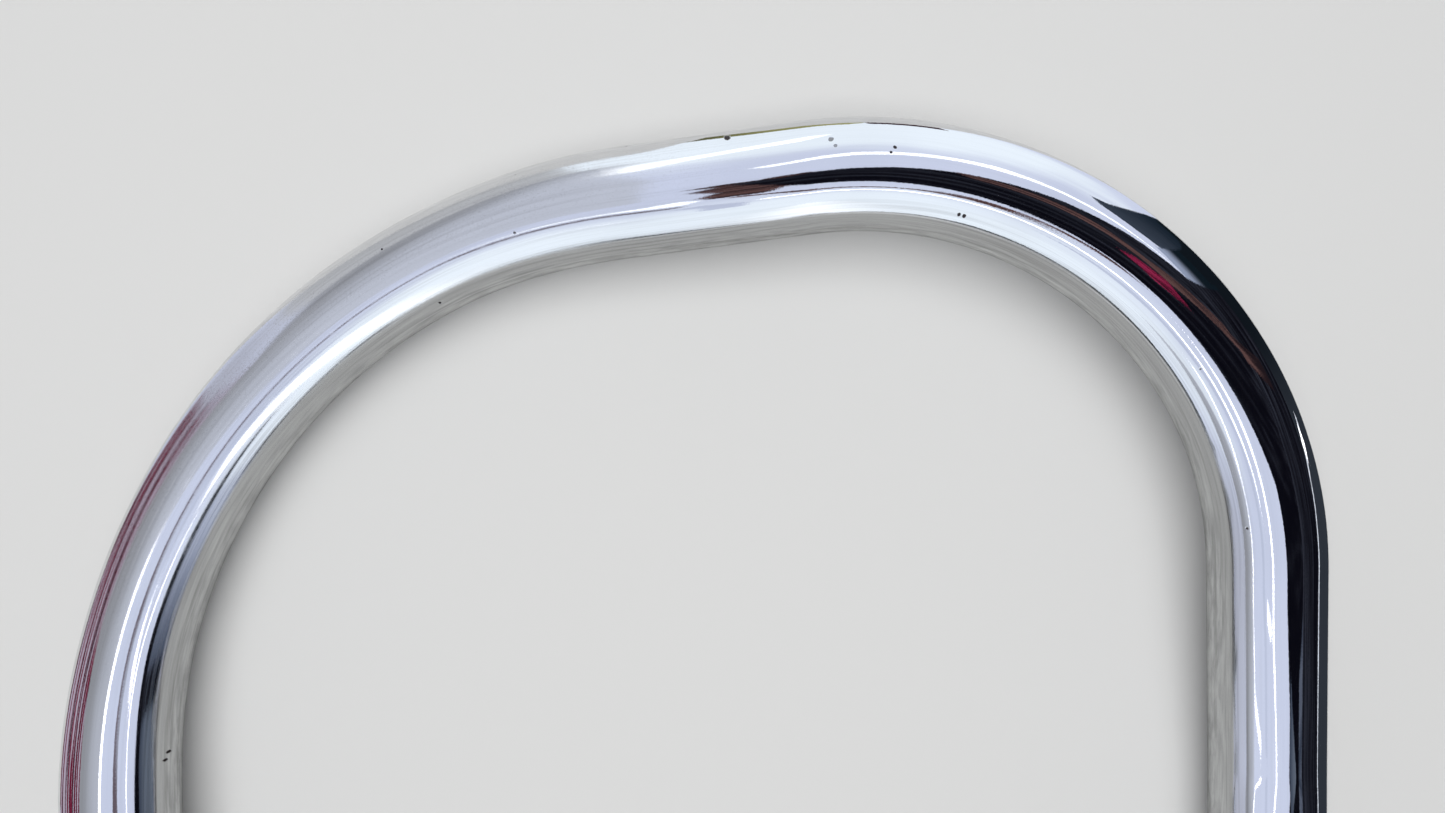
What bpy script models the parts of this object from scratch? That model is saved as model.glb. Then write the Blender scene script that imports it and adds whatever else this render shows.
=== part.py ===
"""Chromed grab rail for the tail of a motorcycle frame.

One bent steel tube makes the hoop that the hand grips and the two legs.  Each leg ends in a flattened,
pierced eye and carries one welded angle lug, so the rail has four fixings.  Each fixing has a hexagon bolt,
a spring washer, a plain washer and a spacer collar.

Frame: +X to the right, +Y towards the closed end of the hoop, +Z up.  The origin is under the middle of the
rail's box, on the surface that the rail lies on: the left bend and both legs touch it.  Units are metres.
"""

import math

import bmesh
import bpy
from mathutils import Matrix, Vector

# Tube
TUBE_DIAMETER = 0.0254
TUBE_WALL = 0.0020
TUBE_SIDES = 20
ARC_STEP = math.radians(6.0)

# Centreline: its corners, before they are rounded
LEG_HEIGHT = TUBE_DIAMETER / 2
LEG_END_Y = -0.1500
LEFT_END = Vector((-0.1330, LEG_END_Y, LEG_HEIGHT))
LEFT_HEEL = Vector((-0.1330, -0.0590, LEG_HEIGHT))
LEFT_KINK = Vector((-0.1345, -0.0190, LEG_HEIGHT + 0.0040))
LEFT_CORNER = Vector((-0.1420, 0.1170, LEG_HEIGHT - 0.0040))
RIGHT_CORNER = Vector((0.1245, 0.1490, LEG_HEIGHT + 0.0180))
RIGHT_HEEL = Vector((0.1335, -0.0015, LEG_HEIGHT))
RIGHT_END = Vector((0.1335, LEG_END_Y, LEG_HEIGHT))
HEEL_RADIUS = 0.0760
LEFT_BEND_RADIUS = 0.1325
RIGHT_BEND_RADIUS = 0.0950

# A tube loses height across a bend and gains some at right angles to it
LEFT_BEND_SQUASH = 0.07
RIGHT_BEND_SQUASH = 0.01
SQUASH_SPREAD = 0.6
SQUASH_RAMP = math.radians(20.0)

# Flattened eye at the end of each leg
EYE_SLIT = 0.0006
EYE_FLAT = 0.0300
EYE_RAMP = 0.0340
EYE_RAMP_STEPS = 7
FIXING_HOLE_RADIUS = 0.0045

# Welded angle lug
LUG_Y = -0.0680
LUG_LENGTH = 0.0320
LUG_REACH = 0.0360
LUG_DEPTH = 0.0180
LUG_THICKNESS = 0.0040
LUG_BEND_RADIUS = 0.0060
LUG_EDGE_BEVEL = 0.0005
BEND_STEPS = 5

# Fixings, M8
BOLT_RADIUS = 0.0040
BOLT_LENGTH = 0.0300
BOLT_POINT = 0.0008
HEAD_ACROSS_FLATS = 0.0130
HEAD_HEIGHT = 0.0053
HEAD_CHAMFER = 0.0009
SPRING_WASHER_RADIUS = 0.0074
SPRING_WASHER_THICKNESS = 0.0020
SPRING_WASHER_GAP = 0.0018
PLAIN_WASHER_RADIUS = 0.0080
PLAIN_WASHER_THICKNESS = 0.0016
WASHER_BORE_RADIUS = 0.0044
COLLAR_RADIUS = 0.0075
COLLAR_LENGTH = 0.0080
EDGE_CHAMFER = 0.0003
ROUND_STEPS = 20

GAP = 0.0003
MERGE_DISTANCE = 0.00001
SHARP_ANGLE = math.radians(35.0)
CUTTER_MARGIN = 0.0100

TUBE_RADIUS = TUBE_DIAMETER / 2
BORE_RADIUS = TUBE_RADIUS - TUBE_WALL
EYE_HALF_HEIGHT = TUBE_WALL + EYE_SLIT / 2
EYE_HALF_WIDTH = EYE_HALF_HEIGHT + math.pi * (TUBE_RADIUS - EYE_HALF_HEIGHT) / 2
SEAT_Z = LEG_HEIGHT + TUBE_RADIUS
UP = Vector((0.0, 0.0, 1.0))


# ---------------------------------------------------------------- scene and materials


def clear_scene():
    for item in list(bpy.data.objects):
        bpy.data.objects.remove(item, do_unlink=True)


def new_collection(name):
    collection = bpy.data.collections.new(name)
    bpy.context.scene.collection.children.link(collection)
    return collection


def metal(name, colour, roughness):
    material = bpy.data.materials.new(name)
    material.use_nodes = True
    shader = material.node_tree.nodes["Principled BSDF"]
    shader.inputs["Base Color"].default_value = (*colour, 1.0)
    shader.inputs["Metallic"].default_value = 1.0
    shader.inputs["Roughness"].default_value = roughness
    return material


def add_object(name, mesh, collection, material=None):
    item = bpy.data.objects.new(name, mesh)
    collection.objects.link(item)
    if material:
        mesh.materials.append(material)
        mesh.shade_smooth()
        mesh.set_sharp_from_angle(angle=SHARP_ANGLE)
    return item


def mesh_from(name, shape):
    """Turn a bmesh into a mesh with its faces pointing out."""
    bmesh.ops.recalc_face_normals(shape, faces=shape.faces)
    mesh = bpy.data.meshes.new(name)
    shape.to_mesh(mesh)
    shape.free()
    return mesh


def add_cutter(name, mesh, collection):
    cutter = add_object(name, mesh, collection)
    cutter.display_type = "WIRE"
    cutter.hide_render = True
    return cutter


def cut(item, cutter):
    boolean = item.modifiers.new(cutter.name, "BOOLEAN")
    boolean.operation = "DIFFERENCE"
    boolean.solver = "EXACT"
    boolean.object = cutter


# ---------------------------------------------------------------- outlines


def prism(name, outline, along, low, high):
    """Extrude a closed outline of 3-D points between two heights of one direction."""
    shape = bmesh.new()
    face = shape.faces.new([shape.verts.new(point + along * low) for point in outline])
    swept = bmesh.ops.extrude_face_region(shape, geom=[face])
    moved = [part for part in swept["geom"] if isinstance(part, bmesh.types.BMVert)]
    bmesh.ops.translate(shape, verts=moved, vec=along * (high - low))
    return mesh_from(name, shape)


def arc(centre, radius, start, stop, steps):
    """Points in the XY plane from one angle to another."""
    angles = [start + (stop - start) * step / steps for step in range(steps + 1)]
    return [centre + Vector((math.cos(a), math.sin(a), 0.0)) * radius for a in angles]


def turned(name, profile, collection, material):
    """Turn a closed profile of (radius, height) points around Z."""
    shape = bmesh.new()
    corners = [shape.verts.new((radius, 0.0, height)) for radius, height in profile]
    for first, second in zip(corners, corners[1:] + corners[:1]):
        shape.edges.new((first, second))
    mesh = bpy.data.meshes.new(name)
    shape.to_mesh(mesh)
    shape.free()
    item = add_object(name, mesh, collection, material)
    screw = item.modifiers.new("turn", "SCREW")
    screw.steps = ROUND_STEPS
    screw.render_steps = ROUND_STEPS
    screw.use_merge_vertices = True
    screw.merge_threshold = MERGE_DISTANCE
    screw.use_smooth_shade = False
    return item


def ring_profile(inner, outer, height):
    """A ring's section, chamfered on its outer edges, run down its outer side."""
    return [
        (outer - EDGE_CHAMFER, height),
        (outer, height - EDGE_CHAMFER),
        (outer, EDGE_CHAMFER),
        (outer - EDGE_CHAMFER, 0.0),
        (inner, 0.0),
        (inner, height),
    ]


# ---------------------------------------------------------------- tube


def bend_stations(before, corner, after, radius, squash):
    """Centreline stations (point, direction, squash) round one corner."""
    back = (before - corner).normalized()
    onward = (after - corner).normalized()
    turn = math.pi - back.angle(onward)
    start = corner + back * radius * math.tan(turn / 2)
    centre = corner + (back + onward).normalized() * radius / math.cos(turn / 2)
    outward = (start - centre).normalized()
    forward = -back
    steps = max(1, round(turn / ARC_STEP))
    stations = []
    for step in range(steps + 1):
        angle = turn * step / steps
        out = outward * math.cos(angle) + forward * math.sin(angle)
        ahead = forward * math.cos(angle) - outward * math.sin(angle)
        ramp = min(1.0, angle / SQUASH_RAMP, (turn - angle) / SQUASH_RAMP)
        stations.append((centre + out * radius, ahead, squash * ramp))
    return stations


def tube_centreline():
    """Stations from the left leg's round end to the right leg's round end."""
    corners = [LEFT_END, LEFT_HEEL, LEFT_KINK, LEFT_CORNER, RIGHT_CORNER, RIGHT_HEEL, RIGHT_END]
    bends = [
        (HEEL_RADIUS, 0.0),
        (HEEL_RADIUS, 0.0),
        (LEFT_BEND_RADIUS, LEFT_BEND_SQUASH),
        (RIGHT_BEND_RADIUS, RIGHT_BEND_SQUASH),
        (HEEL_RADIUS, 0.0),
    ]
    stations = []
    for index, (radius, squash) in enumerate(bends):
        stations += bend_stations(*corners[index : index + 3], radius, squash)
    return stations


def tube_section(radius, flatness, squash):
    """Section points (side, up): a circle pressed flat against its upper side, its girth unchanged."""
    wall = TUBE_RADIUS - radius
    outer_height = TUBE_RADIUS + (EYE_HALF_HEIGHT - TUBE_RADIUS) * flatness
    height = outer_height - wall
    straight = math.pi * (radius - height) / 2
    quarter = math.pi * height / 2
    lift = TUBE_RADIUS - outer_height
    points = []
    for index in range(TUBE_SIDES):
        along = 2 * math.pi * radius * index / TUBE_SIDES
        side, up = stadium_point(along, straight, height, quarter)
        side *= 1.0 - squash
        up *= 1.0 + SQUASH_SPREAD * squash
        points.append((side, up + lift))
    return points


def stadium_point(along, straight, height, quarter):
    """Point a distance along an outline of two half circles joined by straights, from its right side."""
    half = 2 * (straight + quarter)
    sign = 1.0 if along < half else -1.0
    along = math.fmod(along, half)
    if along < quarter:
        angle = along / height
        return sign * (straight + height * math.cos(angle)), sign * height * math.sin(angle)
    if along < quarter + 2 * straight:
        return sign * (straight - (along - quarter)), sign * height
    angle = (along - quarter - 2 * straight) / height
    return sign * (-straight - height * math.sin(angle)), sign * height * math.cos(angle)


def leg_end_rings(end, heel, radius):
    """Rings from a leg's tip up to its round part."""
    ahead = (heel - end).normalized()
    rings = [section_ring(end, ahead, tube_section(radius, 1.0, 0.0))]
    for step in range(EYE_RAMP_STEPS + 1):
        share = step / EYE_RAMP_STEPS
        flatness = 1.0 - share * share * (3 - 2 * share)
        point = end + ahead * (EYE_FLAT + EYE_RAMP * share)
        rings.append(section_ring(point, ahead, tube_section(radius, flatness, 0.0)))
    return rings


def section_ring(point, ahead, section):
    side = ahead.cross(UP).normalized()
    up = side.cross(ahead)
    return [point + side * across + up * rise for across, rise in section]


def tube_rings(radius):
    """Every ring of one skin of the tube, from the left tip to the right tip."""
    middle = [
        section_ring(point, ahead, tube_section(radius, 0.0, squash))
        for point, ahead, squash in tube_centreline()
    ]
    left = leg_end_rings(LEFT_END, LEFT_HEEL, radius)
    right = leg_end_rings(RIGHT_END, RIGHT_HEEL, radius)
    # The right leg's rings are seen from its tip, so their sides swap when the tube is followed through.
    right = [[ring[(TUBE_SIDES // 2 - index) % TUBE_SIDES] for index in range(TUBE_SIDES)] for ring in right]
    return left + middle + right[::-1]


def build_tube(collection, cutters, material):
    shape = bmesh.new()
    skins = [
        [[shape.verts.new(point) for point in ring] for ring in tube_rings(radius)]
        for radius in (TUBE_RADIUS, BORE_RADIUS)
    ]
    for rings in skins:
        for first, second in zip(rings, rings[1:]):
            join_loops(shape, first, second)
    for tip in (0, -1):
        join_loops(shape, skins[0][tip], skins[1][tip])
    tube = add_object("grip_tube", mesh_from("grip_tube", shape), collection, material)
    for side, end in (("left", LEFT_END), ("right", RIGHT_END)):
        cut(tube, eye_end_cutter(side, end, cutters))
        cut(tube, hole_cutter(f"{side}_eye_hole", eye_centre(end), cutters))
    return tube


def join_loops(shape, first, second):
    count = len(first)
    for index in range(count):
        after = (index + 1) % count
        shape.faces.new((first[index], first[after], second[after], second[index]))


def eye_centre(end):
    return Vector((end.x, end.y + EYE_HALF_WIDTH, 0.0))


def eye_end_cutter(side, end, cutters):
    """What is trimmed off a flattened tip to leave a half-round eye."""
    centre = eye_centre(end)
    edge = EYE_HALF_WIDTH + CUTTER_MARGIN
    outline = arc(centre, EYE_HALF_WIDTH, -math.pi, 0.0, ROUND_STEPS // 2)
    outline += [
        centre + Vector((edge, 0.0, 0.0)),
        centre + Vector((edge, -edge, 0.0)),
        centre + Vector((-edge, -edge, 0.0)),
        centre + Vector((-edge, 0.0, 0.0)),
    ]
    mesh = prism(f"{side}_eye_trim", outline, UP, 0.0, SEAT_Z + CUTTER_MARGIN)
    return add_cutter(f"{side}_eye_trim", mesh, cutters)


def hole_cutter(name, centre, cutters):
    shape = bmesh.new()
    bmesh.ops.create_cone(
        shape,
        cap_ends=True,
        segments=ROUND_STEPS,
        radius1=FIXING_HOLE_RADIUS,
        radius2=FIXING_HOLE_RADIUS,
        depth=SEAT_Z,
        matrix=Matrix.Translation((centre.x, centre.y, SEAT_Z)),
    )
    return add_cutter(name, mesh_from(name, shape), cutters)


# ---------------------------------------------------------------- lugs


def lug_hole(flank_x, inward):
    return Vector((flank_x + inward * (LUG_REACH - LUG_LENGTH / 2), LUG_Y, 0.0))


def lug_profile(flank_x, inward):
    """The angle's section in XZ, from the foot on the tube's flank to the tip of the tab."""

    def at(reach, drop):
        return Vector((flank_x + inward * reach, 0.0, SEAT_Z - drop))

    def bend(radius):
        turns = [math.pi / 2 * step / BEND_STEPS for step in range(BEND_STEPS + 1)]
        return [
            at(LUG_BEND_RADIUS - radius * math.cos(turn), LUG_BEND_RADIUS - radius * math.sin(turn))
            for turn in turns
        ]

    outside = bend(LUG_BEND_RADIUS)
    inside = bend(LUG_BEND_RADIUS - LUG_THICKNESS)
    tip = [at(LUG_REACH, 0.0), at(LUG_REACH, LUG_THICKNESS)]
    foot = [at(LUG_THICKNESS, LUG_DEPTH), at(0.0, LUG_DEPTH)]
    return outside + tip + inside[::-1] + foot


def lug_tip_cutter(name, centre, inward, cutters):
    """What is trimmed off a lug's tab to leave a half-round tip."""
    radius = LUG_LENGTH / 2
    edge = radius + CUTTER_MARGIN
    outline = [
        Vector((centre.x + inward * x, centre.y + y, 0.0))
        for x, y in [(0.0, edge), (edge, edge), (edge, -edge), (0.0, -edge)]
    ]
    half_turn = arc(Vector(), radius, -math.pi / 2, math.pi / 2, ROUND_STEPS // 2)
    outline += [Vector((centre.x + inward * p.x, centre.y + p.y, 0.0)) for p in half_turn]
    mesh = prism(name, outline, UP, 0.0, SEAT_Z + CUTTER_MARGIN)
    return add_cutter(name, mesh, cutters)


def build_lug(side, leg_x, inward, collection, cutters, material):
    name = f"{side}_lug"
    flank_x = leg_x + inward * (TUBE_RADIUS + GAP)
    low, high = LUG_Y - LUG_LENGTH / 2, LUG_Y + LUG_LENGTH / 2
    mesh = prism(name, lug_profile(flank_x, inward), Vector((0.0, 1.0, 0.0)), low, high)
    lug = add_object(name, mesh, collection, material)
    hole = lug_hole(flank_x, inward)
    cut(lug, lug_tip_cutter(f"{side}_lug_tip", hole, inward, cutters))
    cut(lug, hole_cutter(f"{side}_lug_hole", hole, cutters))
    return hole


# ---------------------------------------------------------------- fixings


def chamfered_bar(name, sides, radius, low, high, rim_height, chamfer):
    """A bar along Z with one end's rim chamfered."""
    shape = bmesh.new()
    bmesh.ops.create_cone(
        shape,
        cap_ends=True,
        segments=sides,
        radius1=radius,
        radius2=radius,
        depth=high - low,
        matrix=Matrix.Translation((0.0, 0.0, (low + high) / 2)),
    )
    rim = [
        edge
        for edge in shape.edges
        if all(abs(corner.co.z - rim_height) < MERGE_DISTANCE for corner in edge.verts)
    ]
    bmesh.ops.bevel(shape, geom=rim, offset=chamfer, segments=1, affect="EDGES")
    return mesh_from(name, shape)


def build_bolt(name, collection, cutters, material):
    """Hexagon bolt with its bearing face at the origin and its shank along +Z."""
    corner_radius = HEAD_ACROSS_FLATS / math.sqrt(3)
    head = chamfered_bar(name, 6, corner_radius, -HEAD_HEIGHT, 0.0, -HEAD_HEIGHT, HEAD_CHAMFER)
    root = -HEAD_HEIGHT / 2
    shank = chamfered_bar(
        f"{name}_shank", ROUND_STEPS, BOLT_RADIUS, root, BOLT_LENGTH, BOLT_LENGTH, BOLT_POINT
    )
    bolt = add_object(name, head, collection, material)
    joined = add_cutter(f"{name}_shank", shank, cutters)
    joined.parent = bolt
    union = bolt.modifiers.new("shank", "BOOLEAN")
    union.operation = "UNION"
    union.solver = "EXACT"
    union.object = joined
    return bolt


def build_spring_washer(name, collection, material):
    """A flat ring cut through once, its underside at the origin."""
    half_gap = math.asin(SPRING_WASHER_GAP / 2 / SPRING_WASHER_RADIUS)
    outline = arc(Vector(), SPRING_WASHER_RADIUS, half_gap, 2 * math.pi - half_gap, ROUND_STEPS)
    outline += arc(Vector(), WASHER_BORE_RADIUS, 2 * math.pi - half_gap, half_gap, ROUND_STEPS)
    mesh = prism(name, outline, UP, 0.0, SPRING_WASHER_THICKNESS)
    return add_object(name, mesh, collection, material)


def build_fixing(name, hole, seat_thickness, collection, cutters, materials):
    """One set of fastenings, stacked on an empty at the hole from the bolt's head up to the collar."""
    stack = bpy.data.objects.new(f"{name}_fixing", None)
    collection.objects.link(stack)
    stack.location = (hole.x, hole.y, SEAT_Z)
    plain_z = -seat_thickness - GAP - PLAIN_WASHER_THICKNESS
    spring_z = plain_z - GAP - SPRING_WASHER_THICKNESS
    head_z = spring_z - GAP
    plain_ring = ring_profile(WASHER_BORE_RADIUS, PLAIN_WASHER_RADIUS, PLAIN_WASHER_THICKNESS)
    collar_ring = ring_profile(WASHER_BORE_RADIUS, COLLAR_RADIUS, COLLAR_LENGTH)
    zinc, spring_steel = materials
    placed = [
        (build_bolt(f"{name}_bolt", collection, cutters, zinc), head_z),
        (build_spring_washer(f"{name}_spring_washer", collection, spring_steel), spring_z),
        (turned(f"{name}_plain_washer", plain_ring, collection, zinc), plain_z),
        (turned(f"{name}_collar", collar_ring, collection, zinc), GAP),
    ]
    for piece, height in placed:
        piece.parent = stack
        piece.location = (0.0, 0.0, height)


def main():
    clear_scene()
    rail = new_collection("grab_rail")
    cutters = new_collection("cutters")
    build_tube(rail, cutters, metal("tube_chrome", (0.82, 0.83, 0.86), 0.08))
    for side, end, inward in [("left", LEFT_END, 1.0), ("right", RIGHT_END, -1.0)]:
        chrome = metal(f"{side}_lug_chrome", (0.80, 0.81, 0.84), 0.14)
        hole = build_lug(side, end.x, inward, rail, cutters, chrome)
        fixings = [("front", eye_centre(end), 2 * EYE_HALF_HEIGHT), ("rear", hole, LUG_THICKNESS)]
        for place, centre, thickness in fixings:
            name = f"{place}_{side}"
            zinc = metal(f"{name}_zinc", (0.66, 0.66, 0.64), 0.32)
            spring_steel = metal(f"{name}_spring_steel", (0.46, 0.46, 0.45), 0.38)
            build_fixing(name, centre, thickness, rail, cutters, (zinc, spring_steel))


main()
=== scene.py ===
import math

import bmesh
import bpy
from mathutils import Matrix, Vector


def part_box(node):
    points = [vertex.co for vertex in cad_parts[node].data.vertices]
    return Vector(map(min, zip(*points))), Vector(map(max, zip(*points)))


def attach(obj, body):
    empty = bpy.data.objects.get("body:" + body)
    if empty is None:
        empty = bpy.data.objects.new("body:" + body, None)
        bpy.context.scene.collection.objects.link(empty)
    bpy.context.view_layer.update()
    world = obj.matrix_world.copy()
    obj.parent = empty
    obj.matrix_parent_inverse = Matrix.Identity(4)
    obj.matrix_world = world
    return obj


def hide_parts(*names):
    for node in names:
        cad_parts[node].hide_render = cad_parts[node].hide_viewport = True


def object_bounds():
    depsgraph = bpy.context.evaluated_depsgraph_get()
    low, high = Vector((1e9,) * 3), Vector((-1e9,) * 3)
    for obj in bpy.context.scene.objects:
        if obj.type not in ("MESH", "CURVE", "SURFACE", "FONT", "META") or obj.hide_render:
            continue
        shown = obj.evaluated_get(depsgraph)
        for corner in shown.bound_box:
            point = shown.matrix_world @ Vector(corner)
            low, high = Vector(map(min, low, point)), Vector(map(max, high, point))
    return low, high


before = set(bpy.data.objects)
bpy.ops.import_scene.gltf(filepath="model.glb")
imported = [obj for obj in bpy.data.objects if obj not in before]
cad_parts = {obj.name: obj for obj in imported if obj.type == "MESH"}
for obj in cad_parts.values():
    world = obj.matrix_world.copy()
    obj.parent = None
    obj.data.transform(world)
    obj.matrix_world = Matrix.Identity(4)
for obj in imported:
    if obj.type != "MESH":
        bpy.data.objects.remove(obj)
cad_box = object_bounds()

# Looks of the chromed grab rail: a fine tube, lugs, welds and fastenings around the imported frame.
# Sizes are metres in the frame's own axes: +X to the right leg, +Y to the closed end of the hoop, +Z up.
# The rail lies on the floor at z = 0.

BODY = "root"

# Tube and its centreline's corners, as the CAD part has them
TUBE_RADIUS = 0.0127
TUBE_WALL = 0.0020
LEG_HEIGHT = TUBE_RADIUS
LEG_END_Y = -0.1500
LEFT_END = Vector((-0.1330, LEG_END_Y, LEG_HEIGHT))
LEFT_HEEL = Vector((-0.1330, -0.0590, LEG_HEIGHT))
LEFT_KINK = Vector((-0.1345, -0.0190, LEG_HEIGHT + 0.0040))
LEFT_CORNER = Vector((-0.1420, 0.1170, LEG_HEIGHT - 0.0040))
RIGHT_CORNER = Vector((0.1245, 0.1490, LEG_HEIGHT + 0.0180))
RIGHT_HEEL = Vector((0.1335, -0.0015, LEG_HEIGHT))
RIGHT_END = Vector((0.1335, LEG_END_Y, LEG_HEIGHT))
HEEL_RADIUS = 0.0760
LEFT_BEND_RADIUS = 0.1325
RIGHT_BEND_RADIUS = 0.0950
LEFT_BEND_SQUASH = 0.07
RIGHT_BEND_SQUASH = 0.01
SQUASH_SPREAD = 0.6
SQUASH_RAMP = math.radians(20.0)

# Flattened eyes and welded lugs
EYE_SLIT = 0.0006
EYE_FLAT = 0.0300
EYE_RAMP = 0.0340
HOLE_RADIUS = 0.0045
LUG_Y = -0.0680
LUG_LENGTH = 0.0320
LUG_REACH = 0.0360
LUG_DEPTH = 0.0180
LUG_THICKNESS = 0.0040
LUG_BEND_RADIUS = 0.0060
GAP = 0.0003

BORE_RADIUS = TUBE_RADIUS - TUBE_WALL
EYE_HALF_HEIGHT = TUBE_WALL + EYE_SLIT / 2
EYE_HALF_WIDTH = EYE_HALF_HEIGHT + math.pi * (TUBE_RADIUS - EYE_HALF_HEIGHT) / 2
SEAT_Z = LEG_HEIGHT + TUBE_RADIUS
EYE_Y = LEG_END_Y + EYE_HALF_WIDTH
UP = Vector((0.0, 0.0, 1.0))

# Fineness of the meshes
TUBE_SIDES = 72
ARC_STEP = math.radians(1.5)
STRAIGHT_STEP = 0.0030
EYE_STEPS = 24
ROUND_STEPS = 64
EDGE_STEPS = 4
LUG_BEND_STEPS = 12
EYE_EDGE = 0.0006
BORE_EDGE = 0.0003
LUG_EDGE = 0.0007
LUG_EDGE_ANGLE = math.radians(50.0)
CUTTER_MARGIN = 0.0100
SHARP_ANGLE = math.radians(40.0)
TURNED_SHARP_ANGLE = math.radians(30.0)
BOLT_SHARP_ANGLE = math.radians(28.0)
WELD_SHARP_ANGLE = math.radians(80.0)
PLACE_DIGITS = 6

# Weld bead round a lug's foot
BEAD_RADIUS = 0.0019
BEAD_STAND = 0.0010
BEAD_HALF_LENGTH = LUG_LENGTH / 2 + 0.0006
BEAD_LOW = SEAT_Z - LUG_DEPTH - 0.0009
BEAD_HIGH = SEAT_Z - LUG_BEND_RADIUS + 0.0008
BEAD_CORNER = 0.0025
BEAD_CORNER_STEPS = 16
BEAD_RIPPLE = 0.00022
BEAD_PITCH = 0.0013
BEAD_LAG = 0.45
BEAD_WANDER = 0.00015
BEAD_WANDERS = 7
BEAD_SPREAD = 1.15
BEAD_CROWN = 0.80
BEAD_SIDES = 16
BEAD_STEP = 0.00022

# Fastenings, M8
THREAD_RADIUS = 0.0040
THREAD_DEPTH = 0.00062
THREAD_PITCH = 0.00125
THREAD_CREST = 1.25
THREAD_SLOPE = 2.8
THREAD_STEPS = 6
THREAD_SIDES = 36
BOLT_LENGTH = 0.0300
PLAIN_SHANK = 0.0030
HEAD_ACROSS_FLATS = 0.0130
HEAD_HEIGHT = 0.0053
HEAD_CHAMFER = 0.0009
HEAD_CHAMFER_ANGLE = math.radians(30.0)
FORGED_DIMPLE = 0.0005
MIDDLE_RADIUS = 0.0005
SPRING_RADIUS = 0.0074
SPRING_THICKNESS = 0.0020
SPRING_GAP = 0.0018
SPRING_RISE = 0.0002
WASHER_BORE = 0.0044
EDGE_ROUND = 0.0003
COLLAR_GROOVES = 14
GROOVE_DEPTH = 0.00003


# ---------------------------------------------------------------- meshes


def add_object(name, data):
    item = bpy.data.objects.new(name, data)
    bpy.context.scene.collection.objects.link(item)
    return item


def mesh_from(name, shape):
    """Turn a bmesh into a mesh with its faces pointing out."""
    bmesh.ops.recalc_face_normals(shape, faces=shape.faces)
    mesh = bpy.data.meshes.new(name)
    shape.to_mesh(mesh)
    shape.free()
    return mesh


def smooth(mesh, angle=SHARP_ANGLE):
    mesh.shade_smooth()
    mesh.set_sharp_from_angle(angle=angle)
    return mesh


def full_turn(steps):
    return [2 * math.pi * step / steps for step in range(steps)]


def quarter_turn(steps):
    return [math.pi / 2 * step / steps for step in range(steps + 1)]


def ring_of(shape, points):
    return [shape.verts.new(point) for point in points]


def circle(radius, height, middle=(0.0, 0.0)):
    """Points round an upright axis."""
    x, y = middle[:2]
    return [(x + radius * math.cos(a), y + radius * math.sin(a), height) for a in full_turn(ROUND_STEPS)]


def join_loops(shape, first, second):
    count = len(first)
    for index in range(count):
        after = (index + 1) % count
        shape.faces.new((first[index], first[after], second[after], second[index]))


def loft(shape, loops):
    for first, second in zip(loops, loops[1:]):
        join_loops(shape, first, second)


def solid_loft(shape, loops):
    """A loft whose two ends are closed."""
    loft(shape, loops)
    shape.faces.new(loops[0])
    shape.faces.new(loops[-1])


def apply_modifiers(item):
    """Replace an object's mesh by what its modifiers make of it."""
    bpy.context.view_layer.update()
    graph = bpy.context.evaluated_depsgraph_get()
    before = item.data
    item.data = bpy.data.meshes.new_from_object(item.evaluated_get(graph))
    item.modifiers.clear()
    bpy.data.meshes.remove(before)


def boolean(item, mesh, operation):
    """Join a body to an object, or cut one out of it."""
    other = add_object("other_body", mesh)
    step = item.modifiers.new("boolean", "BOOLEAN")
    step.operation = operation
    step.solver = "EXACT"
    step.object = other
    apply_modifiers(item)
    bpy.data.objects.remove(other, do_unlink=True)
    bpy.data.meshes.remove(mesh)


def even_normals(item):
    """Keep flat faces looking flat beside narrow rounded edges."""
    step = item.modifiers.new("normals", "WEIGHTED_NORMAL")
    step.keep_sharp = True
    apply_modifiers(item)


def turned_ring(name, profile):
    """A ring turned round Z from a closed profile of (radius, height) points."""
    shape = bmesh.new()
    loops = [ring_of(shape, circle(radius, height)) for radius, height in profile]
    loft(shape, loops + loops[:1])
    return mesh_from(name, shape)


def turned_solid(name, profile, middle=(0.0, 0.0)):
    """A solid turned round an upright axis from a profile that runs from end to end."""
    shape = bmesh.new()
    solid_loft(shape, [ring_of(shape, circle(radius, height, middle)) for radius, height in profile])
    return mesh_from(name, shape)


def rounded_rows(low, high, size):
    """(height, inset) rows of an upright edge that is rounded at both ends."""
    turns = quarter_turn(EDGE_STEPS)
    lower = [(low + size * (1 - math.sin(a)), size * (1 - math.cos(a))) for a in turns[::-1]]
    upper = [(high - size * (1 - math.sin(a)), size * (1 - math.cos(a))) for a in turns]
    return lower + upper


def cutter_rows(low, high, size):
    """The same rows, carried on past the plate at both ends."""
    rows = rounded_rows(low, high, size)
    return [(low - CUTTER_MARGIN, rows[0][1])] + rows + [(high + CUTTER_MARGIN, rows[-1][1])]


def half_round_cutter(centre, radius, start, low, high, size):
    """What is trimmed off a plate to leave a half-round end with rounded rims."""
    edge = radius + CUTTER_MARGIN
    across = Vector((-math.sin(start), math.cos(start), 0.0)) * edge
    ahead = Vector((math.cos(start), math.sin(start), 0.0)) * edge
    shape = bmesh.new()
    loops = []
    steps = ROUND_STEPS // 2
    for height, inset in cutter_rows(low, high, size):
        points = []
        for step in range(steps + 1):
            turn = start - math.pi / 2 + math.pi * step / steps
            out = Vector((math.cos(turn), math.sin(turn), 0.0))
            points.append(centre + out * (radius - inset))
        points += [centre + across, centre + across + ahead, centre - across + ahead, centre - across]
        loops.append(ring_of(shape, [point + UP * (height - point.z) for point in points]))
    solid_loft(shape, loops)
    return mesh_from("trim", shape)


def hole_cutter(centre, low, high, size):
    """A bore whose rims are rounded."""
    profile = [(HOLE_RADIUS + inset, height) for height, inset in cutter_rows(low, high, size)]
    return turned_solid("bore", profile, centre)


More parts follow.
